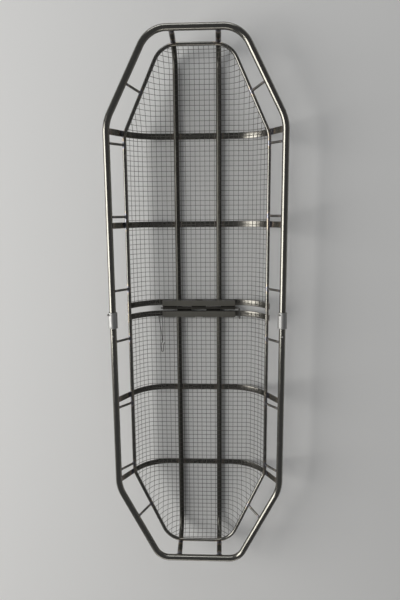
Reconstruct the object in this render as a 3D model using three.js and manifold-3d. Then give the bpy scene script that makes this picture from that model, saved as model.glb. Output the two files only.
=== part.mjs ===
// Rescue stretcher: a two-half stainless steel basket that folds at mid-length.
// Millimetres. +Z up with the basket lying on its ribs, head end at +Y, foot end at -Y.
import * as THREE from 'three';
import { mergeVertices } from 'three/addons/utils/BufferGeometryUtils.js';
import Module from 'manifold-3d';

const wasm = await Module();
wasm.setup();

// ---- driving dimensions -------------------------------------------------------------
const GAP = 0.3;              // clearance between neighbouring pieces

const RAIL_R = 12.5;          // outer top rail, round tube
const RAIL_WALL = 2;
const RAIL_Z = 172;           // height of the rail's axis
const RAIL = { side: 325, sideEnd: 714, end: 1029, endHalf: 163,
  bends: { head: [150, 105, 105, 150], foot: [150, 65, 65, 150] } };

const HOOP_R = 7;             // inner hoop that carries the mesh
const HOOP_Z = 103;
const HOOP = { side: 272, sideEnd: 678, end: 993.5, endHalf: 127, bends: [90, 90, 90, 90] };
const SPLIT = 0.2;            // half the gap where the two halves butt

const RIB_W = 23;             // flat bar, width along Y
const RIB_T = 3;
const RIB_FLAT = 128.5;       // half-length of the flat bottom
const RIB_ARC_R = 165;        // bar centreline
const RIB_SLOPE = 60;         // degrees above the floor
const RIB_STEP = 6;           // degrees per facet of the arc
const RIB_Y = [684, 343, 23]; // end rib, middle rib, rib beside the split
const SHORT_RIB_TOP = 101;    // the ribs beside the split stop where they meet the hoop

const RUNNER_R = 10;
const RUNNER_X = 83;
const RUNNER_BEND = 70;
const RUNNER_SLOPE = 66;
const RUNNER_Z = RIB_T + GAP + RUNNER_R;
const RUNNER_START = 16;

const STRUT_R = 4.75;
const STRUT_Y = { head: [94, 375, 642], foot: [106, 377, 643] };
const STRUT_SLANT_Y = 850;    // the struts on the slanted corners

const MESH_T = 1.6;           // envelope of the welded mesh
const MESH_OFF = RIB_T / 2 + 0.5 + MESH_T / 2;
const MESH_FLOOR = RUNNER_Z + RUNNER_R + 0.2 + MESH_T / 2;
const MESH_TOP = HOOP_Z - 8.6;
const MESH_EDGE = 17;
const MESH_CORNER = 90;

const PIN_Z = 10.5;           // fold axis, along X at y = 0
const PIN_R = 3.5;
const PIN_BORE = 3.9;
const BARREL_R = 6.5;
const LEAF_X = 150;           // half-length of the hinge leaves
const LEAF_Y = [11.5, 34.5];
const LEAF_T = 3;
const LEAF_Z = RUNNER_Z + RUNNER_R + GAP;
const KNUCKLES = 5;

const SLEEVE_R = 17.5;
const SLEEVE_HEAD = 13;       // cover over the head rail
const SLEEVE_FOOT = 49;       // cover over the foot rail
const STOP_Y = 80;

// ---- helpers ------------------------------------------------------------------------
const V = (x, y, z) => new THREE.Vector3(x, y, z);
const rad = (d) => THREE.MathUtils.degToRad(d);
const group = new THREE.Group();
group.name = 'rescue_stretcher';

function add(name, geometry, color, roughness, metalness = 1) {
  const material = new THREE.MeshStandardMaterial({ color, roughness, metalness });
  material.name = name + '_mat';
  const mesh = new THREE.Mesh(geometry, material);
  mesh.name = name;
  group.add(mesh);
}

function ring(r, n, turn = 0) {
  return Array.from({ length: n }, (_, i) => {
    const a = (2 * Math.PI * (i + turn)) / n;
    return new THREE.Vector2(r * Math.cos(a), r * Math.sin(a));
  });
}

// corners of a route, each rounded with a tangent arc; returns points and tangents
function roundRoute(corners, radii, degPerStep = 9) {
  const pts = [corners[0].clone()];
  const tan = [corners[1].clone().sub(corners[0]).normalize()];
  for (let i = 1; i < corners.length - 1; i++) {
    const radius = Array.isArray(radii) ? radii[i - 1] : radii;
    const a = corners[i].clone().sub(corners[i - 1]).normalize();
    const b = corners[i + 1].clone().sub(corners[i]).normalize();
    const turn = Math.acos(THREE.MathUtils.clamp(a.dot(b), -1, 1));
    const t = radius * Math.tan(turn / 2);
    const start = corners[i].clone().addScaledVector(a, -t);
    const inward = b.clone().addScaledVector(a, -a.dot(b)).normalize();
    const centre = start.clone().addScaledVector(inward, radius);
    const n = Math.max(2, Math.ceil(THREE.MathUtils.radToDeg(turn) / degPerStep));
    for (let k = 0; k <= n; k++) {
      const s = (turn * k) / n;
      pts.push(centre.clone().addScaledVector(inward, -radius * Math.cos(s))
        .addScaledVector(a, radius * Math.sin(s)));
      tan.push(a.clone().multiplyScalar(Math.cos(s)).addScaledVector(inward, Math.sin(s)));
    }
  }
  const last = corners.length - 1;
  pts.push(corners[last].clone());
  tan.push(corners[last].clone().sub(corners[last - 1]).normalize());
  return { pts, tan };
}

// a curve that gives back the route's own points, so bends are fine and straights are long
class Route extends THREE.Curve {
  constructor({ pts, tan }) { super(); this.pts = pts; this.tan = tan; }
  at(list, u) { return list[Math.round(u * (list.length - 1))].clone(); }
  getPoint(u) { return this.at(this.pts, u); }
  getPointAt(u) { return this.at(this.pts, u); }
  getTangent(u) { return this.at(this.tan, u); }
  getTangentAt(u) { return this.at(this.tan, u); }
}

function tube(route, radius, sides, bore = 0, boreSides = 10) {
  const shape = new THREE.Shape(ring(radius, sides));
  if (bore > 0) shape.holes.push(new THREE.Path(ring(bore, boreSides)));
  return new THREE.ExtrudeGeometry(shape, {
    steps: route.pts.length - 1, extrudePath: new Route(route), bevelEnabled: false,
  });
}

function rod(a, b, radius, sides = 24) {
  const g = new THREE.CylinderGeometry(radius, radius, a.distanceTo(b), sides);
  const q = new THREE.Quaternion().setFromUnitVectors(V(0, 1, 0), b.clone().sub(a).normalize());
  g.applyQuaternion(q);
  const m = a.clone().add(b).multiplyScalar(0.5);
  return g.translate(m.x, m.y, m.z);
}

function box(x0, x1, y0, y1, z0, z1) {
  const lo = (p, q) => Math.min(p, q);
  const g = new THREE.BoxGeometry(Math.abs(x1 - x0), Math.abs(y1 - y0), Math.abs(z1 - z0));
  return g.translate((x0 + x1) / 2, (y0 + y1) / 2, lo(z0, z1) + Math.abs(z1 - z0) / 2);
}

function solid(geometry) {
  const g = geometry.clone();
  g.deleteAttribute('normal');
  g.deleteAttribute('uv');
  const m = mergeVertices(g, 1e-4);
  return new wasm.Manifold(new wasm.Mesh({
    numProp: 3,
    vertProperties: new Float32Array(m.attributes.position.array),
    triVerts: new Uint32Array(m.index.array),
  }));
}

function fromSolid(manifold) {
  const m = manifold.getMesh();
  const g = new THREE.BufferGeometry();
  g.setAttribute('position', new THREE.BufferAttribute(new Float32Array(m.vertProperties), 3));
  g.setIndex(Array.from(m.triVerts));
  const flat = g.toNonIndexed();
  flat.computeVertexNormals();
  return flat;
}

const cut = (geometry, cutters) =>
  fromSolid(cutters.reduce((s, c) => s.subtract(solid(c)), solid(geometry)));
const join = (parts) => parts.map(solid).reduce((a, b) => a.add(b));

// the U-shaped run of one half of an octagonal hoop; s = 1 head half, -1 foot half
function halfHoop(o, z, s) {
  return [V(o.side, s * SPLIT, z), V(o.side, s * o.sideEnd, z), V(o.endHalf, s * o.end, z),
    V(-o.endHalf, s * o.end, z), V(-o.side, s * o.sideEnd, z), V(-o.side, s * SPLIT, z)];
}

// ---- ribs ---------------------------------------------------------------------------
const RIB_CENTRE_Z = RIB_T / 2 + RIB_ARC_R;
const ARC_STEPS = RIB_SLOPE / RIB_STEP;

// one side of the rib's curve, offset inward from the bar's centreline
function ribSide(offset, topZ, from = 0) {
  const r = RIB_ARC_R - offset;
  const pts = [];
  for (let k = from; k <= ARC_STEPS; k++) {
    const a = rad(k * RIB_STEP);
    pts.push([RIB_FLAT + r * Math.sin(a), RIB_CENTRE_Z - r * Math.cos(a)]);
  }
  const [x, z] = pts[pts.length - 1];
  pts.push([x + (topZ - z) / Math.tan(rad(RIB_SLOPE)), topZ]);
  return pts;
}

function ribGeometry(y, topZ) {
  const inner = ribSide(RIB_T / 2, topZ + RIB_T / 4);
  const outer = ribSide(-RIB_T / 2, topZ - RIB_T / 4);
  const mirror = (pts) => pts.map(([x, z]) => [-x, z]).reverse();
  const loop = [...mirror(inner), ...inner, ...outer.slice().reverse(), ...mirror(outer).reverse()];
  const shape = new THREE.Shape(loop.map(([x, z]) => new THREE.Vector2(x, z)));
  const g = new THREE.ExtrudeGeometry(shape, { depth: RIB_W, bevelEnabled: false });
  return g.rotateX(Math.PI / 2).translate(0, y + RIB_W / 2, 0);
}

// where the sloping bar reaches the rail: foot of the perpendicular from the rail's axis
function ribTopAtRail() {
  const [x, z] = ribSide(0, RAIL_Z).slice(-2)[0];
  const c = Math.cos(rad(RIB_SLOPE));
  const s = Math.sin(rad(RIB_SLOPE));
  return z + s * ((RAIL.side - x) * c + (RAIL_Z - z) * s);
}

// ---- mesh liner ---------------------------------------------------------------------
// offset octagon from a side distance, an end distance and a slant distance
const slant = new THREE.Vector2(HOOP.end - HOOP.sideEnd, HOOP.side - HOOP.endHalf).normalize();
const SLANT_D = slant.x * HOOP.side + slant.y * HOOP.sideEnd;

function linerCurve() {
  // levels from the hoop down to the floor: [side x, end y, z]
  const side = ribSide(MESH_OFF, MESH_TOP, Math.round(30 / RIB_STEP));
  const floorA = Math.acos((RIB_CENTRE_Z - MESH_FLOOR) / (RIB_ARC_R - MESH_OFF));
  side.unshift([RIB_FLAT + (RIB_ARC_R - MESH_OFF) * Math.sin(floorA), MESH_FLOOR]);
  const off = RUNNER_R + GAP + MESH_T / 2;
  const r = RUNNER_BEND - off;
  const bendY = runnerBendY();
  const cz = RUNNER_Z + RUNNER_BEND;
  const slope = rad(RUNNER_SLOPE);
  const endAt = (z) => {
    const a = Math.acos(THREE.MathUtils.clamp((cz - z) / r, -1, 1));
    if (a <= slope) return bendY + r * Math.sin(a);
    return bendY + r * Math.sin(slope) + (z - (cz - r * Math.cos(slope))) / Math.tan(slope);
  };
  return side.map(([x, z], i) => ({ x, y: i === 0 ? bendY : endAt(z), z })).reverse();
}

// the runner's axis where it passes closest to the hoop, as y and z
function runnerAtHoop() {
  const s = rad(RUNNER_SLOPE);
  const d = HOOP_R + RUNNER_R + 2 * GAP;
  return [HOOP.end + d * Math.sin(s), HOOP_Z - d * Math.cos(s)];
}

// where its slope would meet the level of the floor run
function runnerCornerY() {
  const [y, z] = runnerAtHoop();
  return y - (z - RUNNER_Z) / Math.tan(rad(RUNNER_SLOPE));
}

const runnerBendY = () => runnerCornerY() - RUNNER_BEND * Math.tan(rad(RUNNER_SLOPE) / 2);

function linerGeometry(s) {
  const levels = linerCurve();
  const top = levels[0];
  const rows = levels.map((l) => {
    const inset = ((top.x - l.x) + (top.y - l.y)) / 2;
    const d = SLANT_D + (top.x - HOOP.side) - inset;
    const cornerY = (d - slant.x * l.x) / slant.y;
    const cornerX = (d - slant.y * l.y) / slant.x;
    const r = roundRoute([V(l.x, MESH_EDGE, l.z), V(l.x, cornerY, l.z), V(cornerX, l.y, l.z),
      V(-cornerX, l.y, l.z), V(-l.x, cornerY, l.z), V(-l.x, MESH_EDGE, l.z)], MESH_CORNER, 16);
    return r.pts;
  });
  const cols = rows[0].length;
  const pts = rows.flat();
  const tris = [];
  for (let i = 0; i < rows.length - 1; i++) {
    for (let j = 0; j < cols - 1; j++) {
      const a = i * cols + j;
      tris.push([a, a + cols, a + 1], [a + 1, a + cols, a + cols + 1]);
    }
  }
  // flat floor, cut back round the hinge leaf
  const base = (rows.length - 1) * cols;
  const notch = [[-LEAF_X - 1, MESH_EDGE], [-LEAF_X - 1, LEAF_Y[1] + GAP],
    [LEAF_X + 1, LEAF_Y[1] + GAP], [LEAF_X + 1, MESH_EDGE]];
  const start = pts.length;
  notch.forEach(([x, y]) => pts.push(V(x, y, MESH_FLOOR)));
  const loop = [...Array(cols).keys()].map((j) => base + j).concat([0, 1, 2, 3].map((k) => start + k));
  const flat = loop.map((k) => new THREE.Vector2(pts[k].x, pts[k].y));
  THREE.ShapeUtils.triangulateShape(flat, []).forEach((t) => tris.push(t.map((k) => loop[k])));
  const g = thicken(pts, tris, MESH_T);
  if (s < 0) {
    g.rotateZ(Math.PI);
  }
  return g;
}

// a sheet of points and triangles given a thickness
function thicken(pts, tris, t) {
  const normals = pts.map(() => V(0, 0, 0));
  const up = [];
  tris.forEach(([a, b, c]) => {
    const n = pts[b].clone().sub(pts[a]).cross(pts[c].clone().sub(pts[a]));
    const tri = n.z < 0 ? [a, c, b] : [a, b, c];
    if (n.z < 0) n.negate();
    up.push(tri);
    tri.forEach((k) => normals[k].add(n.clone().normalize().multiplyScalar(n.length() ** 0.5)));
  });
  normals.forEach((n) => n.normalize());
  const n = pts.length;
  const verts = [...pts.map((p, i) => p.clone().addScaledVector(normals[i], t / 2)),
    ...pts.map((p, i) => p.clone().addScaledVector(normals[i], -t / 2))];
  const faces = [...up, ...up.map(([a, b, c]) => [a + n, c + n, b + n])];
  const edges = new Set(up.flatMap(([a, b, c]) => [`${a},${b}`, `${b},${c}`, `${c},${a}`]));
  edges.forEach((e) => {
    const [a, b] = e.split(',').map(Number);
    if (!edges.has(`${b},${a}`)) faces.push([a, a + n, b + n], [a, b + n, b]);
  });
  const g = new THREE.BufferGeometry();
  g.setAttribute('position', new THREE.Float32BufferAttribute(
    faces.flatMap((f) => f.flatMap((k) => verts[k].toArray())), 3));
  g.computeVertexNormals();
  return g;
}

// ---- hinge leaf ---------------------------------------------------------------------
function leafGeometry(s) {
  const pitch = (2 * LEAF_X) / KNUCKLES;
  const parts = [box(-LEAF_X, LEAF_X, s * LEAF_Y[0], s * LEAF_Y[1], LEAF_Z, LEAF_Z + LEAF_T)];
  for (let k = 0; k < KNUCKLES; k++) {
    if ((k % 2 === 0) !== (s > 0)) continue;
    const x0 = -LEAF_X + k * pitch + GAP;
    const x1 = x0 + pitch - 2 * GAP;
    parts.push(rod(V(x0, 0, PIN_Z), V(x1, 0, PIN_Z), BARREL_R, 24));
    parts.push(box(x0, x1, s * 3, s * (LEAF_Y[0] + 2), PIN_Z + 2, LEAF_Z + 1));
  }
  const bore = rod(V(-LEAF_X - 5, 0, PIN_Z), V(LEAF_X + 5, 0, PIN_Z), PIN_BORE, 16);
  return fromSolid(join(parts).subtract(solid(bore)));
}

// ---- the two halves -----------------------------------------------------------------
const STEEL = { rail: 0xc4c2be, hoop: 0xb9b7b3, rib: 0x8d8b88, runner: 0x9a9895,
  mesh: 0xa8a6a2, strut: 0xbab8b4, leaf: 0x7d7b78, sleeve: 0xa2a29e, pin: 0x8a8884 };
const RIB_TOP = ribTopAtRail();
const SLANT_RAIL = (y) => RAIL.side
  - ((RAIL.side - RAIL.endHalf) * (y - RAIL.sideEnd)) / (RAIL.end - RAIL.sideEnd);

for (const [half, s] of [['head', 1], ['foot', -1]]) {
  const railRoute = roundRoute(halfHoop(RAIL, RAIL_Z, s), RAIL.bends[half]);
  const hoopRoute = roundRoute(halfHoop(HOOP, HOOP_Z, s), HOOP.bends);
  add(`${half}_top_rail`, tube(railRoute, RAIL_R, 18, RAIL_R - RAIL_WALL, 10), STEEL.rail, 0.24);
  add(`${half}_inner_hoop`, tube(hoopRoute, HOOP_R, 12), STEEL.hoop, 0.28);

  // the same tubes with clearance all round, to cut back what is welded to them
  const clearance = 1 / Math.cos(Math.PI / 24);
  const railCutter = tube(railRoute, (RAIL_R + GAP) * clearance, 24);
  const hoopCutter = tube(hoopRoute, (HOOP_R + GAP) * clearance, 24);

  RIB_Y.forEach((y, i) => {
    const short = i === RIB_Y.length - 1;
    let g = ribGeometry(s * y, short ? SHORT_RIB_TOP : RIB_TOP);
    if (!short) g = cut(g, [railCutter]);
    add(`${half}_rib_${['end', 'middle', 'split'][i]}`, g, STEEL.rib, 0.32);
  });

  for (const [hand, m] of [['left', -1], ['right', 1]]) {
    const [hoopY, hoopZ] = runnerAtHoop();
    const corners = [[RUNNER_START, RUNNER_Z], [runnerCornerY(), RUNNER_Z], [hoopY, hoopZ],
      [RAIL.end, RAIL_Z]].map(([y, z]) => V(m * RUNNER_X, s * y, z));
    add(`${half}_runner_${hand}`, cut(tube(roundRoute(corners, RUNNER_BEND), RUNNER_R, 14), [railCutter]),
      STEEL.runner, 0.3);

    // struts between the outer rail and the inner hoop
    STRUT_Y[half].forEach((y, i) => {
      const bar = rod(V(m * RAIL.side, s * y, RAIL_Z), V(m * HOOP.side, s * y, HOOP_Z), STRUT_R, 10);
      add(`${half}_strut_${hand}_${i + 1}`, cut(bar, [railCutter, hoopCutter]), STEEL.strut, 0.3);
    });
    const a = V(m * SLANT_RAIL(STRUT_SLANT_Y), s * STRUT_SLANT_Y, RAIL_Z);
    const out = V(m * slant.x, s * slant.y, 0);
    const b = a.clone().addScaledVector(out, -(a.x * out.x + a.y * out.y - SLANT_D)).setZ(HOOP_Z);
    add(`${half}_strut_${hand}_4`, cut(rod(a, b, STRUT_R, 10), [railCutter, hoopCutter]), STEEL.strut, 0.3);
  }

  add(`${half}_mesh_liner`, linerGeometry(s), STEEL.mesh, 0.35);
  add(`${half}_hinge_leaf`, leafGeometry(s), STEEL.leaf, 0.4);
}

// ---- hinge rod with its bent handle ------------------------------------------------------
const ROD_X = [-LEAF_X - 8, LEAF_X + 7];
const clipHole = rod(V(ROD_X[0] + 4, 0, PIN_Z - 6), V(ROD_X[0] + 4, 0, PIN_Z + 6), 1.4, 10);
add('hinge_rod', cut(rod(V(ROD_X[0], 0, PIN_Z), V(ROD_X[1], 0, PIN_Z), PIN_R, 16), [clipHole]),
  STEEL.pin, 0.3);

const HANDLE_RISE = rad(53);
const HANDLE_LEN = 58;
const elbow = V(ROD_X[1] + GAP + 9, 0, PIN_Z);
const lean = V(0, -Math.cos(HANDLE_RISE), Math.sin(HANDLE_RISE));
const tip = elbow.clone().addScaledVector(lean, HANDLE_LEN);
add('rod_handle', tube(roundRoute([V(ROD_X[1] + GAP, 0, PIN_Z), elbow, tip], 8, 15), PIN_R, 12),
  STEEL.pin, 0.3);

// ---- coupler sleeves, their plungers and stop studs ------------------------------------
for (const [hand, m] of [['left', -1], ['right', 1]]) {
  const tight = RAIL_R + GAP;
  const loose = RAIL_R + 1;
  const profile = [[tight, -SLEEVE_FOOT], [SLEEVE_R - 1, -SLEEVE_FOOT], [SLEEVE_R, -SLEEVE_FOOT + 1],
    [SLEEVE_R, SLEEVE_HEAD - 1], [SLEEVE_R - 1, SLEEVE_HEAD], [loose, SLEEVE_HEAD],
    [loose, -1], [tight, -1], [tight, -SLEEVE_FOOT]];
  const lathe = new THREE.LatheGeometry(profile.map(([r, y]) => new THREE.Vector2(r, y)), 28);
  lathe.translate(m * RAIL.side, 0, RAIL_Z);
  const dir = V(-1, 0, 1).normalize();
  const at = V(m * RAIL.side, 6, RAIL_Z);
  const on = (r) => at.clone().addScaledVector(dir, r);
  add(`${hand}_coupler_sleeve`, cut(lathe, [rod(on(RAIL_R), on(SLEEVE_R + 4), 2.5 + GAP, 16)]),
    STEEL.sleeve, 0.36);
  const knob = join([rod(on(RAIL_R + 0.7), on(SLEEVE_R + 2), 2.5, 12),
    rod(on(SLEEVE_R + 0.5), on(SLEEVE_R + 6), 4, 16)]);
  add(`${hand}_plunger`, fromSolid(knob), STEEL.sleeve, 0.3);
  const stopA = V(m * RAIL.side, -STOP_Y, RAIL_Z + RAIL_R + GAP);
  add(`${hand}_stop_stud`, rod(stopA, stopA.clone().add(V(0, 0, 3)), 3, 12), STEEL.sleeve, 0.3);
}

// ---- lanyard with its hairpin clip -------------------------------------------------------
const CORD_R = 1.2;
const CORD_Z = MESH_FLOOR + MESH_T / 2 + GAP + CORD_R;
const EYE = V(-158, -33, LEAF_Z + LEAF_T + GAP + 2);
add('lanyard_eye', fromSolid(join([rod(EYE.clone().add(V(-9, 0, 0)), EYE.clone().add(V(9, 0, 0)), 2, 10),
  box(-152, -145, -34.5, -30, LEAF_Z + LEAF_T + GAP, LEAF_Z + LEAF_T + 3.3)])), STEEL.pin, 0.35);

const CRIMP_R = 3.2;
const CRIMP = [V(-152, -124, CORD_Z + 2.2), V(-152.4, -134, CORD_Z + 2.2)];
[['a', -164], ['b', -151]].forEach(([name, x], i) => {
  const end = CRIMP[0].clone().add(V((i ? 1 : -1) * 1.5, GAP, -0.6));
  const start = V(x, EYE.y - 2 - GAP, EYE.z);
  const line = new THREE.CatmullRomCurve3([start, start.clone().add(V(0, -6, -0.6)),
    V(x + (i ? 1.5 : 3.5), -66, CORD_Z), V(x + (i ? 1 : 8), -97, CORD_Z),
    end.clone().add(V(0, 6, -0.2)), end]);
  const pts = line.getSpacedPoints(24);
  const tan = pts.map((_, k) => line.getTangentAt(k / 24));
  add(`lanyard_strand_${name}`, tube({ pts, tan }, CORD_R, 8), 0x8c8a85, 0.55, 0.3);
});
add('lanyard_crimp', rod(CRIMP[0], CRIMP[1], CRIMP_R, 14), STEEL.pin, 0.35);

const CLIP_R = 1.5;
const clipStart = CRIMP[1].clone().add(V(0, -GAP, 0));
const clip = roundRoute([clipStart, clipStart.clone().add(V(0.2, -6, 0)),
  clipStart.clone().add(V(-6, -14, 0)), clipStart.clone().add(V(-3.5, -46, 0)),
  clipStart.clone().add(V(3, -46, 0)), clipStart.clone().add(V(5.5, -16, 0)),
  clipStart.clone().add(V(9, -8, 0))], 2.2, 25);
add('hairpin_clip', tube(clip, CLIP_R, 8), STEEL.pin, 0.3);

export default group;
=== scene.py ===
import bpy
import math
import numpy as np
from mathutils import Matrix, Vector


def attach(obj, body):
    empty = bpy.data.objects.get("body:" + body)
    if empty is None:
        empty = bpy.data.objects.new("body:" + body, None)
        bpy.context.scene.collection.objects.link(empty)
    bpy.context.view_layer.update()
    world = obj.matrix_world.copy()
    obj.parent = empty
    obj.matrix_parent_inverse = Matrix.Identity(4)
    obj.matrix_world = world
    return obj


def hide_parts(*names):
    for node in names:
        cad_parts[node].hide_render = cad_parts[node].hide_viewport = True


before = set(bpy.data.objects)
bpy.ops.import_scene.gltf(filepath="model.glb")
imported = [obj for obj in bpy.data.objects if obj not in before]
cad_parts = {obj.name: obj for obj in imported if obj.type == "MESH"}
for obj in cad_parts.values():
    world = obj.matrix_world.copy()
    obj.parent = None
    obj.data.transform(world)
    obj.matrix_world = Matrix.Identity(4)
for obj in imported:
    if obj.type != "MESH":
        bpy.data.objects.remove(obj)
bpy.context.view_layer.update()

MM = 0.001

# ---- dimensions, millimetres, the same as the CAD's ------------------------------------
RAIL = dict(r=12.5, wall=2.0, z=172.0, side=325.0, side_end=714.0, end=1029.0, end_half=163.0,
            bends=dict(head=(150, 105, 105, 150), foot=(150, 65, 65, 150)))
HOOP = dict(r=7.0, z=103.0, side=272.0, side_end=678.0, end=993.5, end_half=127.0,
            bends=(90, 90, 90, 90))
SPLIT = 0.2
RIB = dict(w=23.0, t=3.0, flat=128.5, arc=165.0, slope=60.0)
RIB_Y = dict(end=684.0, middle=343.0, split=23.0)
RIB_TOP = 162.8
RIB_SPLIT_TOP = 101.0
RUNNER = dict(r=10.0, x=83.0, z=13.3, bend=70.0, slope=66.0, start=16.0)
STRUT_R = 4.75
STRUT_Y = dict(head=(94.0, 375.0, 642.0), foot=(106.0, 377.0, 643.0))
STRUT_SLANT_Y = 850.0
PIN_Z = 10.5
LEAF = dict(x=150.0, y0=11.5, y1=34.5, t=3.0, z=23.6, knuckles=5, barrel=6.5, bore=3.9)
MESH = dict(pitch=18.9, r=0.9, floor=24.3, off=2.8, edge=17.0, top=96.6, corner=90.0)
SLEEVE = dict(r=17.5, head=13.0, foot=49.0)
STOP_Y = 80.0
CORD_R = 1.2
CORD_Z = MESH["floor"] + 3.9
CRIMP_R = 3.15
CLIP_R = 1.5
HANDLE_RISE = 53.0
HANDLE_LENGTH = 58.0
BEAD_PITCH = 2.2
BEAD_STEP = 0.8
FLOOR_REACH = 30.0
CAMERA = dict(lens=30.882, place=(0.097, 0.39798, 2.0997),
              turn=(("Z", 0.00819), ("X", 0.17259), ("Y", -0.04416)))

HALVES = (("head", 1, "head_half"), ("foot", -1, "foot_half"))
HANDS = (("left", -1), ("right", 1))


# ---- mesh building ---------------------------------------------------------------------
def vec(*p):
    return np.array(p, float)


def unit(v):
    return v / np.linalg.norm(v)


class Shell:
    """Vertices and faces gathered in millimetres, then made into one object."""

    def __init__(self):
        self.verts, self.faces, self.n = [], [], 0

    def add(self, verts, faces):
        self.verts.append(np.asarray(verts, float))
        self.faces += [tuple(i + self.n for i in f) for f in faces]
        self.n += len(verts)
        return self

    def object(self, name, material, body, replaces=(), sharp=None):
        mesh = bpy.data.meshes.new(name)
        co = np.concatenate(self.verts) * MM
        mesh.from_pydata(co.tolist(), [], self.faces)
        mesh.validate()
        mesh.shade_smooth()
        if sharp is not None:
            mesh.set_sharp_from_angle(angle=math.radians(sharp))
        mesh.materials.append(material)
        heat = mesh.attributes.new("weld_heat", "FLOAT", "POINT")
        heat.data.foreach_set("value", heat_at(co / MM).astype(np.float32))
        obj = bpy.data.objects.new(name, mesh)
        bpy.context.scene.collection.objects.link(obj)
        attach(obj, body)
        if replaces:
            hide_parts(*replaces)
        return obj


weld_spots = []


def heat_at(points, reach=9.0):
    """How much weld heat has tinted the steel at each point, 0 to 1."""
    if not weld_spots:
        return np.zeros(len(points))
    spots = np.array(weld_spots)
    best = np.full(len(points), 1e9)
    for i in range(0, len(spots), 16):
        d = np.linalg.norm(points[:, None, :] - spots[None, i:i + 16, :], axis=2)
        best = np.minimum(best, d.min(1))
    return np.exp(-np.maximum(best - 4.0, 0) ** 2 / (2 * reach * reach / 2.2))


def frames(pts):
    """Tangent and two side directions at each point, turned as little as possible."""
    pts = np.asarray(pts, float)
    tan = np.gradient(pts, axis=0)
    tan /= np.linalg.norm(tan, axis=1)[:, None]
    ref = vec(0, 0, 1) if abs(tan[0][2]) < 0.9 else vec(1, 0, 0)
    a = [unit(np.cross(np.cross(tan[0], ref), tan[0]))]
    for t in tan[1:]:
        v = a[-1] - t * np.dot(a[-1], t)
        a.append(unit(v))
    a = np.array(a)
    return tan, a, np.cross(tan, a)


def circle(n, turn=0.0):
    t = 2 * np.pi * (np.arange(n) + turn) / n
    return np.cos(t), np.sin(t)


def sweep(shell, pts, profile, cap=True):
    """profile is (k, 2) offsets along the two side directions, the same or one set per point."""
    tan, a, b = frames(pts)
    pts = np.asarray(pts, float)
    m = len(pts)
    prof = np.asarray(profile, float)
    if prof.ndim == 2:
        prof = np.repeat(prof[None], m, 0)
    k = prof.shape[1]
    v = pts[:, None, :] + prof[..., 0:1] * a[:, None, :] + prof[..., 1:2] * b[:, None, :]
    faces = []
    for i in range(m - 1):
        for j in range(k):
            q = (j + 1) % k
            faces.append((i * k + j, i * k + q, (i + 1) * k + q, (i + 1) * k + j))
    if cap:
        faces.append(tuple(range(k))[::-1])
        faces.append(tuple((m - 1) * k + j for j in range(k)))
    return shell.add(v.reshape(-1, 3), faces)


def round_profile(r, n=24):
    c, s = circle(n)
    return np.stack([r * c, r * s], 1)


def bar_profile(w, t, r=0.7, n=4):
    """Flat bar with eased edges; w along the second side direction, t along the first."""
    out = []
    for cx, cy, a0 in ((t / 2 - r, w / 2 - r, 0), (-t / 2 + r, w / 2 - r, 90),
                       (-t / 2 + r, -w / 2 + r, 180), (t / 2 - r, -w / 2 + r, 270)):
        for i in range(n + 1):
            a = math.radians(a0 + 90 * i / n)
            out.append((cx + r * math.cos(a), cy + r * math.sin(a)))
    return np.array(out)


def rounded(corners, radii, step=10.0, arc=3.0):
    """A route through the corners with tangent bends, a point every step mm and arc degrees."""
    c = [np.asarray(p, float) for p in corners]
    radii = np.broadcast_to(radii, len(c) - 2)
    pts = [c[0]]

    def line_to(p):
        d = np.linalg.norm(p - pts[-1])
        n = max(1, int(round(d / step)))
        start = pts[-1]
        for i in range(1, n + 1):
            pts.append(start + (p - start) * i / n)

    for i in range(1, len(c) - 1):
        radius = float(radii[i - 1])
        a, b = unit(c[i] - c[i - 1]), unit(c[i + 1] - c[i])
        turn = math.acos(max(-1, min(1, float(np.dot(a, b)))))
        if turn < 1e-4:
            continue
        t = radius * math.tan(turn / 2)
        start = c[i] - a * t
        inward = unit(b - a * np.dot(a, b))
        centre = start + inward * radius
        line_to(start)
        n = max(3, int(math.degrees(turn) / arc))
        for k in range(1, n + 1):
            s = turn * k / n
            pts.append(centre - inward * radius * math.cos(s) + a * radius * math.sin(s))
    line_to(c[-1])
    return np.array(pts)


def lathe(shell, profile, origin, axis, n=48, closed=False):
    """profile is (radius, distance along the axis) turned about the axis."""
    axis = unit(np.asarray(axis, float))
    ref = vec(0, 0, 1) if abs(axis[2]) < 0.9 else vec(1, 0, 0)
    u = unit(np.cross(axis, ref))
    w = np.cross(axis, u)
    c, s = circle(n)
    rows = []
    for r, h in profile:
        rows.append(origin + axis * h + (u[None] * (r * c)[:, None] + w[None] * (r * s)[:, None]))
    k = len(rows)
    faces = []
    for i in range(k if closed else k - 1):
        p = (i + 1) % k
        for j in range(n):
            q = (j + 1) % n
            faces.append((i * n + j, i * n + q, p * n + q, p * n + j))
    if not closed:
        faces.append(tuple(range(n))[::-1])
        faces.append(tuple((k - 1) * n + j for j in range(n)))
    return shell.add(np.concatenate(rows), faces)


def bead(shell, pts, r, rng, closed=False):
    """A weld bead: a rippled, slightly uneven ridge along the points."""
    pts = np.asarray(pts, float)
    if closed:
        pts = np.concatenate([pts, pts[:1]])
    seg = np.linalg.norm(np.diff(pts, axis=0), axis=1)
    s = np.concatenate([[0], np.cumsum(seg)])
    m = max(8, int(s[-1] / BEAD_STEP))
    t = np.linspace(0, s[-1], m)
    line = np.stack([np.interp(t, s, pts[:, i]) for i in range(3)], 1)
    ripple = 1 + 0.14 * np.abs(np.sin(np.pi * t / BEAD_PITCH)) + 0.1 * (rng.random(m) - 0.5)
    if not closed:
        ends = np.clip(np.minimum(t, s[-1] - t) / 2.0, 0.25, 1)
        ripple *= ends
    prof = np.array([round_profile(r * k, 10) for k in ripple])
    return sweep(shell, line, prof)


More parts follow.
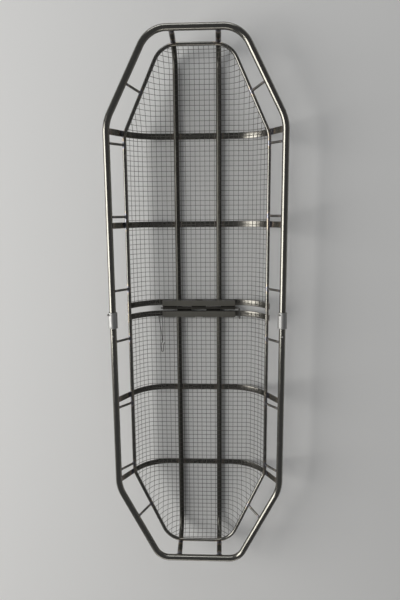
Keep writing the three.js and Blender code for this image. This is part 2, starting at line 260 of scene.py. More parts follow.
# ---- materials -------------------------------------------------------------------------
def node(tree, kind, **inputs):
    n = tree.nodes.new(kind)
    for k, v in inputs.items():
        n.inputs[k.replace("_", " ")].default_value = v
    return n


def mapped_noise(tree, coord, scale, noise_scale, detail=4.0, rough=0.55):
    m = tree.nodes.new("ShaderNodeMapping")
    m.inputs["Scale"].default_value = scale
    tree.links.new(coord, m.inputs["Vector"])
    n = node(tree, "ShaderNodeTexNoise", Scale=noise_scale, Detail=detail, Roughness=rough)
    tree.links.new(m.outputs["Vector"], n.inputs["Vector"])
    return n.outputs["Fac"]


def map_range(tree, value, a, b, c, d):
    n = node(tree, "ShaderNodeMapRange")
    for key, v in zip(("From Min", "From Max", "To Min", "To Max"), (a, b, c, d)):
        n.inputs[key].default_value = v
    tree.links.new(value, n.inputs["Value"])
    return n.outputs["Result"]


def mix(tree, factor, a, b):
    n = tree.nodes.new("ShaderNodeMix")
    n.data_type = "RGBA"
    tree.links.new(factor, n.inputs[0])
    for socket, v in ((n.inputs[6], a), (n.inputs[7], b)):
        if isinstance(v, (tuple, list)):
            socket.default_value = (*v, 1.0)
        else:
            tree.links.new(v, socket)
    return n.outputs[2]


def steel(name, color, rough, grain=(60, 4, 60), grain_depth=0.06, smudge=0.5, scratch=0.25,
          heat=True, grit=0.0):
    """Stainless steel: grain or polish lines, handling smudges, fine scratches, heat tint."""
    mat = bpy.data.materials.new(name)
    mat.use_nodes = True
    tree = mat.node_tree
    shader = tree.nodes["Principled BSDF"]
    shader.inputs["Metallic"].default_value = 1.0
    coord = tree.nodes.new("ShaderNodeTexCoord").outputs["Object"]
    grain_fac = mapped_noise(tree, coord, grain, 14.0, 6.0, 0.6)
    smudge_fac = mapped_noise(tree, coord, (1, 1, 1), 9.0, 5.0, 0.6)
    fine_fac = mapped_noise(tree, coord, (1, 1, 1), 55.0, 4.0, 0.7)

    dark = tuple(c * 0.72 for c in color)
    warm = (color[0] * 0.86, color[1] * 0.80, color[2] * 0.70)
    base = mix(tree, map_range(tree, smudge_fac, 0.42, 0.72, 0.0, smudge), color, dark)
    base = mix(tree, map_range(tree, fine_fac, 0.62, 0.78, 0.0, 0.5 * smudge), base, warm)
    if heat:
        attr = tree.nodes.new("ShaderNodeAttribute")
        attr.attribute_name = "weld_heat"
        ramp = tree.nodes.new("ShaderNodeValToRGB")
        ramp.color_ramp.elements[0].position = 0.0
        ramp.color_ramp.elements[0].color = (*color, 1)
        ramp.color_ramp.elements[1].position = 1.0
        ramp.color_ramp.elements[1].color = (0.20, 0.19, 0.19, 1)
        for pos, c in ((0.35, (0.58, 0.47, 0.30)), (0.6, (0.42, 0.33, 0.30)),
                       (0.8, (0.27, 0.29, 0.36))):
            e = ramp.color_ramp.elements.new(pos)
            e.color = (*c, 1)
        tree.links.new(attr.outputs["Fac"], ramp.inputs["Fac"])
        base = mix(tree, map_range(tree, attr.outputs["Fac"], 0.05, 0.9, 0.0, 0.75),
                   base, ramp.outputs["Color"])
    tree.links.new(base, shader.inputs["Base Color"])

    add = tree.nodes.new("ShaderNodeMath")
    add.operation = "ADD"
    tree.links.new(map_range(tree, grain_fac, 0.3, 0.7, rough * 0.8, rough * 1.25), add.inputs[0])
    tree.links.new(map_range(tree, smudge_fac, 0.45, 0.75, 0.0, 0.16 * smudge), add.inputs[1])
    tree.links.new(add.outputs[0], shader.inputs["Roughness"])

    bump = tree.nodes.new("ShaderNodeBump")
    bump.inputs["Strength"].default_value = grain_depth
    bump.inputs["Distance"].default_value = 0.0006
    tree.links.new(grain_fac, bump.inputs["Height"])
    voronoi = node(tree, "ShaderNodeTexVoronoi", Scale=38.0)
    voronoi.feature = "DISTANCE_TO_EDGE"
    stretch = tree.nodes.new("ShaderNodeMapping")
    stretch.inputs["Scale"].default_value = (1.0, 0.18, 1.0)
    stretch.inputs["Rotation"].default_value = (0.3, 0.2, 0.5)
    tree.links.new(coord, stretch.inputs["Vector"])
    tree.links.new(stretch.outputs["Vector"], voronoi.inputs["Vector"])
    line = map_range(tree, voronoi.outputs["Distance"], 0.0, 0.012, 0.0, 1.0)
    scratches = tree.nodes.new("ShaderNodeBump")
    scratches.inputs["Strength"].default_value = scratch
    scratches.inputs["Distance"].default_value = 0.0002
    tree.links.new(line, scratches.inputs["Height"])
    tree.links.new(bump.outputs["Normal"], scratches.inputs["Normal"])
    last = scratches
    if grit:
        blast = tree.nodes.new("ShaderNodeBump")
        blast.inputs["Strength"].default_value = grit
        blast.inputs["Distance"].default_value = 0.0004
        tree.links.new(mapped_noise(tree, coord, (1, 1, 1), 1500.0, 2.0), blast.inputs["Height"])
        tree.links.new(last.outputs["Normal"], blast.inputs["Normal"])
        last = blast
    tree.links.new(last.outputs["Normal"], shader.inputs["Normal"])
    return mat


# One stainless steel in several copies: the base colours are darker than real stainless and differ part
# by part, as painted shade for the dark surroundings the steel reflects and the shade each part sits
# in.
RAIL_STEEL = steel("rail_steel", (0.235, 0.227, 0.203), 0.18, (20, 3, 20), 0.015, 0.5, 0.06)
HOOP_STEEL = steel("hoop_steel", (0.205, 0.199, 0.182), 0.22, (20, 3, 20), 0.015, 0.5, 0.05)
RIB_STEEL = steel("rib_steel", (0.19, 0.183, 0.163), 0.24, (3, 50, 50), 0.05, 0.7, 0.1)
# Runners get the darkest steel: painted shade for the runners shaded under the mesh and hull.
RUNNER_SHADED_STEEL = steel("runner_steel", (0.09, 0.087, 0.076), 0.33, (20, 3, 20), 0.02, 0.6, 0.05)
STRUT_STEEL = steel("strut_steel", (0.18, 0.175, 0.162), 0.3, (30, 30, 8), 0.02, 0.5, 0.06)
WIRE_STEEL = steel("mesh_steel", (0.145, 0.14, 0.126), 0.42, (30, 30, 30), 0.03, 0.5, 0.05,
                   heat=False)
LEAF_STEEL = steel("leaf_steel", (0.2, 0.194, 0.17), 0.5, (5, 80, 30), 0.12, 0.9, 0.06)
# Knuckles get a darker steel than the leaf plates: painted shade for the shaded hinge barrels.
KNUCKLE_SHADED_STEEL = steel("knuckle_steel", (0.13, 0.126, 0.112), 0.45, (6, 50, 50), 0.08, 0.9, 0.2,
                      heat=False)
SLEEVE_STEEL = steel("sleeve_steel", (0.46, 0.46, 0.447), 0.5, (60, 10, 60), 0.04, 0.4, 0.15,
                     heat=False, grit=0.08)
PIN_STEEL = steel("pin_steel", (0.18, 0.176, 0.166), 0.34, (4, 60, 60), 0.06, 0.6, 0.15,
                  heat=False)
CORD_STEEL = steel("lanyard_wire", (0.1, 0.097, 0.09), 0.45, (30, 30, 30), 0.08, 0.6, 0.1,
                   heat=False)
WELD_STEEL = steel("weld_steel", (0.13, 0.126, 0.116), 0.45, (30, 30, 30), 0.1, 0.9, 0.1)


# ---- routes of the bent pieces -----------------------------------------------------------
def half_hoop(o, s):
    """Corners of one half's rail or inner hoop, from the right side round the end to the left."""
    z = o["z"]
    return [vec(o["side"], s * SPLIT, z), vec(o["side"], s * o["side_end"], z),
            vec(o["end_half"], s * o["end"], z), vec(-o["end_half"], s * o["end"], z),
            vec(-o["side"], s * o["side_end"], z), vec(-o["side"], s * SPLIT, z)]


def rib_route(top_z, offset=0.0):
    """Cross-section line of a rib, from the left top to the right top, as x and z."""
    r = RIB["arc"] - offset
    cz = RIB["t"] / 2 + RIB["arc"]
    side = []
    for k in range(0, 31):
        a = math.radians(RIB["slope"] * k / 30)
        side.append((RIB["flat"] + r * math.sin(a), cz - r * math.cos(a)))
    x, z = side[-1]
    run = (top_z - z) / math.tan(math.radians(RIB["slope"]))
    side += [(x + run * k / 6, z + (top_z - z) * k / 6) for k in range(1, 7)]
    flat = [(-RIB["flat"] + 2 * RIB["flat"] * k / 20, side[0][1]) for k in range(1, 20)]
    return np.array([(-x, z) for x, z in side[::-1]] + flat + side)


def runner_at_hoop():
    """The runner's axis where it passes closest to the hoop, as y and z."""
    a = math.radians(RUNNER["slope"])
    d = HOOP["r"] + RUNNER["r"] + 0.6
    return HOOP["end"] + d * math.sin(a), HOOP["z"] - d * math.cos(a)


def runner_corner_y():
    """Where the runner's flat and rising lines would cross."""
    y, z = runner_at_hoop()
    return y - (z - RUNNER["z"]) / math.tan(math.radians(RUNNER["slope"]))


def runner_bend_y():
    """Where the runner's bend begins."""
    return runner_corner_y() - RUNNER["bend"] * math.tan(math.radians(RUNNER["slope"]) / 2)


# Direction square to the hoop's slanting side, and that side's distance from the middle.
SLANT = unit(vec(HOOP["end"] - HOOP["side_end"], HOOP["side"] - HOOP["end_half"]))
SLANT_D = SLANT[0] * HOOP["side"] + SLANT[1] * HOOP["side_end"]


def strut_ends(half, s, m):
    """Axis points of the four struts on one side of one half: at the rail and at the hoop."""
    out = [(vec(m * RAIL["side"], s * y, RAIL["z"]), vec(m * HOOP["side"], s * y, HOOP["z"]))
           for y in STRUT_Y[half]]
    y = STRUT_SLANT_Y
    x = RAIL["side"] - (RAIL["side"] - RAIL["end_half"]) * (y - RAIL["side_end"]) / (
        RAIL["end"] - RAIL["side_end"])
    a = vec(m * x, s * y, RAIL["z"])
    n = vec(m * SLANT[0], s * SLANT[1], 0)
    b = a - n * (np.dot(a, n) - SLANT_D)
    b[2] = HOOP["z"]
    return out + [(a, b)]


# ---- welds, placed first so that the steel round them can show the heat ------------------
weld_lines = {"head": [], "foot": []}


def weld(half, pts, r, closed=False):
    """Note a bead of radius r along the points, and the steel that it heats."""
    weld_lines[half].append((np.asarray(pts, float), r, closed))
    pts = np.asarray(pts, float)
    keep = pts[:: max(1, len(pts) // 4)]
    weld_spots.extend(keep.tolist())


def ring_at(centre, axis, r, n=20):
    """Points of a circle about an axis."""
    axis = unit(axis)
    ref = vec(0, 0, 1) if abs(axis[2]) < 0.9 else vec(0, 1, 0)
    u = unit(np.cross(axis, ref))
    w = np.cross(axis, u)
    c, s = circle(n)
    return centre + u[None] * (r * c)[:, None] + w[None] * (r * s)[:, None]


runner_slope = math.radians(RUNNER["slope"])
for half, s, body in HALVES:
    for hand, m in HANDS:
        for a, b in strut_ends(half, s, m):
            d = unit(b - a)
            weld(half, ring_at(a + d * (RAIL["r"] + 0.2), d, STRUT_R + 0.3), 1.3, True)
            weld(half, ring_at(b - d * (HOOP["r"] + 0.2), d, STRUT_R + 0.2), 1.1, True)
        for key in ("end", "middle"):
            y = s * RIB_Y[key]
            line = rib_route(RIB_TOP)[-1]
            for side, z in ((-2.6, 0.8), (2.2, -1.6)):
                x = line[0] + side
                weld(half, [(m * x, y - 10.5, line[1] + z), (m * x, y + 10.5, line[1] + z)], 1.5)
        for key in ("end", "middle", "split"):
            y = s * RIB_Y[key]
            x, z = HOOP["side"] + 7.0, HOOP["z"] - (5.0 if key == "split" else -1.6)
            weld(half, [(m * x, y - 10, z), (m * x, y + 10, z)], 1.5)
            if key != "split":
                for side in (-1, 1):
                    x = m * RUNNER["x"] + side * 4.3
                    weld(half, [(x, y - 10, 4.6), (x, y + 10, 4.6)], 1.4)
        hoop_y, hoop_z = runner_at_hoop()
        up = unit(vec(0, s * (RAIL["end"] - hoop_y), RAIL["z"] - hoop_z))
        top = vec(m * RUNNER["x"], s * RAIL["end"], RAIL["z"]) - up * (RAIL["r"] + 1.4)
        weld(half, ring_at(top, up, RUNNER["r"] + 0.4, 28), 1.6, True)
        side = vec(0, s * math.sin(runner_slope), -math.cos(runner_slope))
        touch = vec(m * RUNNER["x"], s * HOOP["end"], HOOP["z"]) + side * HOOP["r"]
        for k in (-1, 1):
            p = touch + up * 3.2 * k
            weld(half, [p + vec(-5, 0, 0), p + vec(5, 0, 0)], 1.5)

# ---- tubes, bars and rods of the two halves ----------------------------------------------
for half, s, body in HALVES:
    route = rounded(half_hoop(RAIL, s), RAIL["bends"][half])
    shell = Shell()
    sweep(shell, route, round_profile(RAIL["r"], 36), cap=False)
    bore = RAIL["r"] - RAIL["wall"]
    for m in (1, -1):
        mouth = vec(m * RAIL["side"], s * SPLIT, RAIL["z"])
        edge = [(RAIL["r"], 0), (RAIL["r"] - 0.2, -0.1), (bore + 0.3, -0.1), (bore, 0.3), (bore, 70)]
        lathe(shell, edge, mouth, (0, s, 0), 36)
    shell.object(f"{half}_rail_tube", RAIL_STEEL, body, [f"{half}_top_rail"], 40)

    shell = Shell()
    sweep(shell, rounded(half_hoop(HOOP, s), HOOP["bends"]), round_profile(HOOP["r"], 24))
    shell.object(f"{half}_hoop_tube", HOOP_STEEL, body, [f"{half}_inner_hoop"], 40)

    for key in ("end", "middle", "split"):
        xz = rib_route(RIB_SPLIT_TOP if key == "split" else RIB_TOP)
        pts = np.stack([xz[:, 0], np.full(len(xz), s * RIB_Y[key]), xz[:, 1]], 1)
        shell = Shell()
        sweep(shell, pts, bar_profile(RIB["w"], RIB["t"]))
        shell.object(f"{half}_rib_bar_{key}", RIB_STEEL, body, [f"{half}_rib_{key}"], 50)

    hoop_y, hoop_z = runner_at_hoop()
    up = unit(vec(0, RAIL["end"] - hoop_y, RAIL["z"] - hoop_z))
    for hand, m in HANDS:
        corners = [(RUNNER["start"], RUNNER["z"]), (runner_corner_y(), RUNNER["z"]), (hoop_y, hoop_z),
                   (RAIL["end"] - 9 * up[1], RAIL["z"] - 9 * up[2])]
        pts = rounded([vec(m * RUNNER["x"], s * y, z) for y, z in corners], RUNNER["bend"])
        shell = Shell()
        sweep(shell, pts, round_profile(RUNNER["r"], 28))
        shell.object(f"{half}_runner_tube_{hand}", RUNNER_SHADED_STEEL, body, [f"{half}_runner_{hand}"],
                     40)
        for i, (p, q) in enumerate(strut_ends(half, s, m)):
            d = unit(q - p)
            p, q = p + d * (RAIL["r"] - 1.0), q - d * (HOOP["r"] - 1.0)
            line = np.array([p + (q - p) * k / 12 for k in range(13)])
            shell = Shell()
            sweep(shell, line, round_profile(STRUT_R, 20))
            shell.object(f"{half}_strut_rod_{hand}_{i + 1}", STRUT_STEEL, body,
                         [f"{half}_strut_{hand}_{i + 1}"], 40)

# ---- welded wire mesh --------------------------------------------------------------------
SAMPLES = 900
z_grid = np.linspace(MESH["floor"], MESH["top"] + 6, 160)


def profile_at(z, flat, radius, centre_z, slope):
    """Distance out from the middle of a floor, arc and slope profile at each height."""
    a = np.arccos(np.clip((centre_z - z) / radius, -1, 1))
    lim = math.radians(slope)
    zl = centre_z - radius * math.cos(lim)
    return np.where(a <= lim, flat + radius * np.sin(a),
                    flat + radius * math.sin(lim) + (z - zl) / math.tan(lim))


def side_x(z):
    """Half width of the mesh at each height."""
    return profile_at(z, RIB["flat"], RIB["arc"] - MESH["off"], RIB["t"] / 2 + RIB["arc"], RIB["slope"])


def end_y(z):
    """Distance of the mesh's end from the middle at each height."""
    r = RUNNER["bend"] - RUNNER["r"] - 1.1
    return profile_at(z, runner_bend_y(), r, RUNNER["z"] + RUNNER["bend"], RUNNER["slope"])


GX, GY = side_x(z_grid), end_y(z_grid)
CAD_TOP = np.array([HOOP["z"] - 8.6])
TOP_X, TOP_Y = side_x(CAD_TOP)[0], end_y(CAD_TOP)[0]
GD = SLANT_D + (TOP_X - HOOP["side"]) - (TOP_X - GX + TOP_Y - GY) / 2


def mesh_height(x, y):
    """Height of the mesh over the plan of one half: its level lines are rounded octagons."""
    x, y = np.abs(x)[:, None], np.abs(y)[:, None]
    r = MESH["corner"]
    gx, gy, gd = GX[None] - r, GY[None] - r, GD[None] - r
    side, end, slant = x - gx, y - gy, SLANT[0] * x + SLANT[1] * y - gd
    out = np.maximum(np.maximum(side, end), slant)
    # The rounded corners: between side and slant, then between slant and end.
    cy = (gd - SLANT[0] * gx) / SLANT[1]
    cx = (gd - SLANT[1] * gy) / SLANT[0]
    for vx, vy, n0, n1 in ((gx, cy, (1, 0), SLANT), (cx, gy, SLANT, (0, 1))):
        dx, dy = x - vx, y - vy
        inside = (n0[0] * dy - n0[1] * dx >= 0) & (n1[0] * dy - n1[1] * dx <= 0)
        out = np.where(inside, np.hypot(dx, dy), out)
    over = out - r
    k = np.argmax(over <= 0, axis=1)
    k = np.where((over <= 0).any(1), k, len(z_grid) - 1)
    rows = np.arange(len(k))
    lower = np.maximum(k - 1, 0)
    a, b = over[rows, lower], over[rows, k]
    t = np.where(k > 0, a / np.maximum(a - b, 1e-9), 0)
    z = z_grid[lower] + t * (z_grid[k] - z_grid[lower])
    return np.where(b > 0, z_grid[-1] + 5, z)


def spaced(line, step):
    """The same line with its points evenly spaced."""
    seg = np.linalg.norm(np.diff(line, axis=0), axis=1)
    t = np.concatenate([[0], np.cumsum(seg)])
    n = max(2, int(t[-1] / step))
    u = np.linspace(0, t[-1], n + 1)
    return np.stack([np.interp(u, t, line[:, i]) for i in range(3)], 1)


def stations(coords, heights, start, pitch):
    """Positions along a coordinate that lie a pitch apart along the surface itself."""
    t = np.concatenate([[0], np.cumsum(np.hypot(np.diff(coords), np.diff(heights)))])
    return np.interp(np.arange(start, t[-1], pitch), t, coords)


xs = np.concatenate([np.linspace(0, GX[0], 200)[:-1], GX])
ys = np.concatenate([np.linspace(MESH["edge"], GY[0], 600)[:-1], GY])
z_along_x = np.concatenate([np.full(199, MESH["floor"]), z_grid])
z_along_y = np.concatenate([np.full(599, MESH["floor"]), z_grid])
X_AT = stations(xs, z_along_x, MESH["pitch"] / 2, MESH["pitch"])
Y_AT = stations(ys, z_along_y, 3.0, MESH["pitch"])
WIRE = round_profile(MESH["r"], 6)
LEAF_EDGE = LEAF["y1"] + 0.5

for half, s, body in HALVES:
    shell = Shell()
    for x in np.concatenate([-X_AT[::-1], X_AT]):
        y0 = LEAF_EDGE if abs(x) < LEAF["x"] + 1 else MESH["edge"] - 1.0
        y = np.linspace(y0, 1030, SAMPLES)
        z = mesh_height(np.full(SAMPLES, x), y)
        ok = z <= MESH["top"]
        if ok.sum() < 8:
            continue
        line = np.stack([np.full(ok.sum(), x), s * y[ok], z[ok] - 0.2], 1)
        sweep(shell, spaced(line, 9.0), WIRE)
    for y in Y_AT:
        x = np.linspace(-290, 290, SAMPLES)
        z = mesh_height(x, np.full(SAMPLES, y))
        ok = z <= MESH["top"]
        parts = [ok]
        if y < LEAF_EDGE:
            parts = [ok & (x < -LEAF["x"] - 1), ok & (x > LEAF["x"] + 1)]
        for part in parts:
            if part.sum() < 8:
                continue
            dz = np.gradient(z, x)
            n = np.stack([-dz, np.ones_like(dz)], 1)
            n /= np.linalg.norm(n, axis=1)[:, None]
            line = np.stack([x + n[:, 0] * 1.4, np.full(SAMPLES, s * y), z + n[:, 1] * 1.4], 1)[part]
            sweep(shell, spaced(line, 8.0), WIRE)
    shell.object(f"{half}_wire_mesh", WIRE_STEEL, body, [f"{half}_mesh_liner"])

# ---- hinge leaves ------------------------------------------------------------------------
def web_profile(s):
    """Section of the plate that joins a knuckle to its leaf."""
    section = [(9.4, 9.0), (14.3, 24.4), (11.7, 24.4), (6.2, 12.5)]
    return np.array([(z - 18.6, -s * (y - 8.6)) for y, z in section][::s])


for half, s, body in HALVES:
    shell = Shell()
    mid_y, width = (LEAF["y0"] + LEAF["y1"]) / 2, LEAF["y1"] - LEAF["y0"]
    z = LEAF["z"] + LEAF["t"] / 2
    line = np.array([(-LEAF["x"] + 2 * LEAF["x"] * k / 60, s * mid_y, z) for k in range(61)])
    sweep(shell, line, bar_profile(width, LEAF["t"], 0.6))
    shell.object(f"{half}_leaf_plate", LEAF_STEEL, body, [f"{half}_hinge_leaf"], 35)
    shell = Shell()
    pitch = 2 * LEAF["x"] / LEAF["knuckles"]
    for k in range(LEAF["knuckles"]):
        if (k % 2 == 0) != (s > 0):
            continue
        x0 = -LEAF["x"] + k * pitch + 0.5
        length = pitch - 1.0
        r, b = LEAF["barrel"], LEAF["bore"]
        lathe(shell, [(b, 0.5), (b + 0.5, 0), (r - 0.5, 0), (r, 0.5), (r, length - 0.5),
                      (r - 0.5, length), (b + 0.5, length), (b, length - 0.5)],
              vec(x0, 0, PIN_Z), (1, 0, 0), 40, closed=True)
        web = np.array([(x0 + 0.3 + (length - 0.6) * j / 12, s * 8.6, 18.6) for j in range(13)])
        sweep(shell, web, web_profile(s))
    shell.object(f"{half}_knuckles", KNUCKLE_SHADED_STEEL, body, (), 35)
    for x0, x1 in ((-146, -96), (-70, -14), (14, 70), (96, 146)):
        edge_y, edge_z = s * (LEAF["y1"] + 0.4), LEAF["z"] + 1.4
        weld(half, [(x, edge_y, edge_z) for x in np.linspace(x0, x1, 12)], 1.5)

# ---- weld beads ----------------------------------------------------------------------------
rng = np.random.default_rng(7)
for half, s, body in HALVES:
    shell = Shell()
    for pts, r, closed in weld_lines[half]:
        bead(shell, pts, r, rng, closed)
    shell.object(f"{half}_weld_beads", WELD_STEEL, body, ())

# ---- hinge rod and its bent handle -----------------------------------------------------------
x0, x1 = -LEAF["x"] - 8, LEAF["x"] + 7
shell = Shell()
rod = [(2.6, 0), (3.5, 0.9), (3.5, x1 - x0 - 0.3), (3.3, x1 - x0)]
lathe(shell, rod, vec(x0, 0, PIN_Z), (1, 0, 0), 28)
for up in (-1, 1):
    cross_hole = [(1.4, -3.55), (1.75, -3.4), (1.75, -3.0)]
    lathe(shell, cross_hole, vec(x0 + 4, 0, PIN_Z), (0, 0, up), 14)
shell.object("pin_bar", PIN_STEEL, "hinge_pin", ["hinge_rod"], 40)

rise = math.radians(HANDLE_RISE)
elbow = vec(x1 + 0.3 + 9, 0, PIN_Z)
tip = elbow + HANDLE_LENGTH * vec(0, -math.cos(rise), math.sin(rise))
pts = rounded([vec(x1 + 0.3, 0, PIN_Z), elbow, tip], 8, 4.0, 6.0)
radii = np.full(len(pts), 3.5)
radii[-1], radii[-2] = 2.6, 3.3
shell = Shell()
sweep(shell, pts, np.array([round_profile(r, 24) for r in radii]))
shell.object("pin_bent_handle", PIN_STEEL, "pin_handle", ["rod_handle"], 40)

# ---- coupler sleeves, plungers and stop studs --------------------------------------------------
for hand, m in HANDS:
    r, foot, head = SLEEVE["r"], -SLEEVE["foot"], SLEEVE["head"]
    tight, loose = RAIL["r"] + 0.3, RAIL["r"] + 1.0
    profile = [(tight, foot + 0.4), (tight + 0.6, foot), (r - 1.2, foot), (r - 0.3, foot + 0.4),
               (r, foot + 1.3), (r, foot + 6), (r - 0.5, foot + 6.4), (r - 0.5, foot + 7.6),
               (r, foot + 8), (r, head - 9.5), (r - 0.5, head - 9.1), (r - 0.5, head - 8.2),
               (r, head - 7.8), (r, head - 1.3), (r - 0.3, head - 0.4), (r - 1.2, head),
               (loose + 0.5, head), (loose, head - 0.5), (loose, -1), (tight, -1.4)]
    shell = Shell()
    lathe(shell, profile, vec(m * RAIL["side"], 0, RAIL["z"]), (0, 1, 0), 64, closed=True)
    shell.object(f"{hand}_sleeve_body", SLEEVE_STEEL, f"{hand}_sleeve", [f"{hand}_coupler_sleeve"],
                 32)
    shell = Shell()
    base = vec(m * RAIL["side"], 6, RAIL["z"])
    knob = [(2.2, RAIL["r"] + 0.7), (2.5, RAIL["r"] + 1.2), (2.5, r + 0.5)]
    knob += [(3.6, r + 0.55), (4.0, r + 1.0)]
    knob += [(4.0 - 0.25 * (i % 2), r + 1.2 + 0.35 * i) for i in range(11)]
    knob += [(3.9, r + 5.2), (3.3, r + 5.8), (2.0, r + 6.0)]
    lathe(shell, knob, base, (-1, 0, 1), 32)
    shell.object(f"{hand}_plunger_pull", PIN_STEEL, f"{hand}_plunger_knob", [f"{hand}_plunger"],
                 40)
    shell = Shell()
    top = RAIL["r"] - 0.3
    stud = [(3.0, top), (3.0, top + 1.6), (2.8, top + 2.3), (2.1, top + 3.0), (1.0, top + 3.4)]
    lathe(shell, stud, vec(m * RAIL["side"], -STOP_Y, RAIL["z"]), (0, 0, 1), 28)
    shell.object(f"{hand}_stop_rivet", SLEEVE_STEEL, "foot_half", [f"{hand}_stop_stud"],
                 40)

# ---- lanyard with its hairpin clip ---------------------------------------------------------------


def catmull(p, n):
    """Evenly spaced points on a smooth curve through p."""
    p = np.array(p, float)
    e = np.concatenate([[2 * p[0] - p[1]], p, [2 * p[-1] - p[-2]]])
    out = []
    for i in range(1, len(e) - 2):
        a, b, c2, d = e[i - 1], e[i], e[i + 1], e[i + 2]
        ta = 0.0
        tb = np.linalg.norm(b - a) ** 0.5
        tc = tb + np.linalg.norm(c2 - b) ** 0.5
        td = tc + np.linalg.norm(d - c2) ** 0.5
        for t in np.linspace(tb, tc, 24, endpoint=False):
            A1 = (tb - t) / (tb - ta) * a + (t - ta) / (tb - ta) * b
            A2 = (tc - t) / (tc - tb) * b + (t - tb) / (tc - tb) * c2
            A3 = (td - t) / (td - tc) * c2 + (t - tc) / (td - tc) * d
            B1 = (tc - t) / (tc - ta) * A1 + (t - ta) / (tc - ta) * A2
            B2 = (td - t) / (td - tb) * A2 + (t - tb) / (td - tb) * A3
            out.append((tc - t) / (tc - tb) * B1 + (t - tb) / (tc - tb) * B2)
    out.append(p[-1])
    out = np.array(out)
    seg = np.linalg.norm(np.diff(out, axis=0), axis=1)
    s = np.concatenate([[0], np.cumsum(seg)])
    u = np.linspace(0, s[-1], n)
    return np.stack([np.interp(u, s, out[:, i]) for i in range(3)], 1), s[-1]


eye = vec(-158, -33, LEAF["z"] + LEAF["t"] + 2.3)
shell = Shell()
lathe(shell, [(1.4, -9), (2.0, -8.5), (2.0, 8.5), (1.4, 9)], eye, (1, 0, 0), 20)
sweep(shell, np.array([(-152 + 7 * k / 6, -32.25, LEAF["z"] + LEAF["t"] + 1.8) for k in range(7)]),
      bar_profile(4.5, 3.0, 0.5))
shell.object("lanyard_eye_bar", PIN_STEEL, "foot_half", ["lanyard_eye"], 40)

crimp_a, crimp_b = vec(-152, -124, CORD_Z + 2.2), vec(-152.4, -134, CORD_Z + 2.2)
shell = Shell()
n = 14
line = np.array([crimp_a + (crimp_b - crimp_a) * k / n for k in range(n + 1)])
squeeze = [0.88, 1, 1, 0.85, 0.78, 0.85, 1, 1, 0.85, 0.78, 0.85, 1, 1, 1, 0.88]
sweep(shell, line, np.array([round_profile(CRIMP_R, 20) * [q, 1.0] for q in squeeze]))
crimp = shell.object("lanyard_crimp_tube", PIN_STEEL, "foot_half", ["lanyard_crimp"], 40)

start = crimp_b + vec(0, -0.3, 0)
pts = rounded([start + vec(*d) for d in ((0, 0, 0), (0.2, -6, 0), (-6, -14, 0), (-3.5, -46, 0),
                                         (3, -46, 0), (5.5, -16, 0), (9, -8, 0))], 2.2, 2.0, 12.0)
shell = Shell()
sweep(shell, pts, round_profile(CLIP_R, 14))
clip = shell.object("hairpin_clip_wire", PIN_STEEL, "foot_half", ["hairpin_clip"], 60)

for i, (key, x) in enumerate((("a", -164), ("b", -151))):
    end = crimp_a + vec((1 if i else -1) * 1.5, 0.3, -0.6)
    first = vec(x, eye[1] - 2.3, eye[2])
    route, length = catmull([first, first + vec(0, -6, -0.6), vec(x + (1.5 if i else 3.5), -66, CORD_Z),
                             vec(x + (1 if i else 8), -97, CORD_Z), end + vec(0, 6, -0.2), end], 90)
    turn = np.linspace(0, length / 9.0 * 2 * np.pi, len(route))
    lay = []
    for t in turn:
        a = np.linspace(0, 2 * np.pi, 18, endpoint=False)
        rr = CORD_R * (0.86 + 0.14 * np.abs(np.cos(1.5 * (a - t))))
        lay.append(np.stack([rr * np.cos(a), rr * np.sin(a)], 1))
    shell = Shell()
    sweep(shell, route, np.array(lay))
    strand = shell.object(f"lanyard_wire_{key}", CORD_STEEL, "foot_half", [f"lanyard_strand_{key}"])

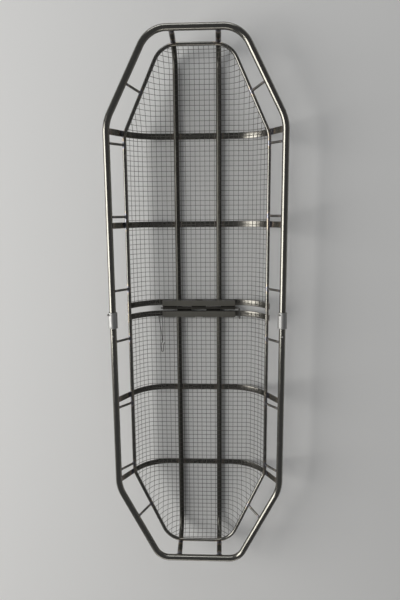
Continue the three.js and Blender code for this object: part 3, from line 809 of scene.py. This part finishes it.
# ---- floor, lights and camera ----------------------------------------------------------------------
floor_mesh = bpy.data.meshes.new("floor")
corners = [(x * FLOOR_REACH, y * FLOOR_REACH, -0.0005) for x, y in ((-1, -1), (1, -1), (1, 1), (-1, 1))]
floor_mesh.from_pydata(corners, [], [(0, 1, 2, 3)])
floor = bpy.data.objects.new("floor", floor_mesh)
bpy.context.scene.collection.objects.link(floor)
paint = bpy.data.materials.new("floor_paint")
paint.use_nodes = True
shader = paint.node_tree.nodes["Principled BSDF"]
shader.inputs["Roughness"].default_value = 0.8
shader.inputs["Base Color"].default_value = (0.8, 0.8, 0.79, 1)
floor_mesh.materials.append(paint)


def area_light(name, place, target, size, power, color):
    """A rectangular lamp at place that faces target."""
    data = bpy.data.lights.new(name, "AREA")
    data.shape = "RECTANGLE"
    data.size, data.size_y = size
    data.energy = power
    data.color = color
    obj = bpy.data.objects.new(name, data)
    bpy.context.scene.collection.objects.link(obj)
    obj.location = place
    obj.rotation_euler = (Vector(target) - Vector(place)).to_track_quat("-Z", "Y").to_euler()


area_light("key_left", (-5.4, 0.25, 3.1), (0.0, 0.25, 0.0), (3.8, 5.0), 330, (1.0, 0.985, 0.96))
area_light("head_soft", (-0.8, 6.5, 2.3), (0.0, 0.0, 0.0), (5.0, 2.2), 110, (0.96, 0.98, 1.0))
area_light("foot_soft", (-0.8, -6.5, 2.3), (0.0, 0.0, 0.0), (5.0, 2.2), 75, (1.0, 0.97, 0.93))

world = bpy.data.worlds.new("studio")
bpy.context.scene.world = world
world.use_nodes = True
sky = world.node_tree
# Paler near the horizon than overhead.
height = sky.nodes.new("ShaderNodeSeparateXYZ")
sky.links.new(sky.nodes.new("ShaderNodeTexCoord").outputs["Generated"], height.inputs[0])
pale_to_dark = map_range(sky, height.outputs["Z"], 0.0, 0.32, 0.62, 0.26)
sky.links.new(pale_to_dark, sky.nodes["Background"].inputs["Strength"])
sky.nodes["Background"].inputs["Color"].default_value = (0.5, 0.51, 0.53, 1)

cam_data = bpy.data.cameras.new("camera")
cam_data.sensor_width = 36
cam_data.lens = CAMERA["lens"]
camera = bpy.data.objects.new("camera", cam_data)
bpy.context.scene.collection.objects.link(camera)
bpy.context.scene.camera = camera
turn = Matrix.Identity(3)
for axis, angle in CAMERA["turn"]:
    turn = turn @ Matrix.Rotation(angle, 3, axis)
camera.matrix_world = Matrix.Translation(CAMERA["place"]) @ turn.transposed().to_4x4()
bpy.context.scene.view_settings.view_transform = "Standard"
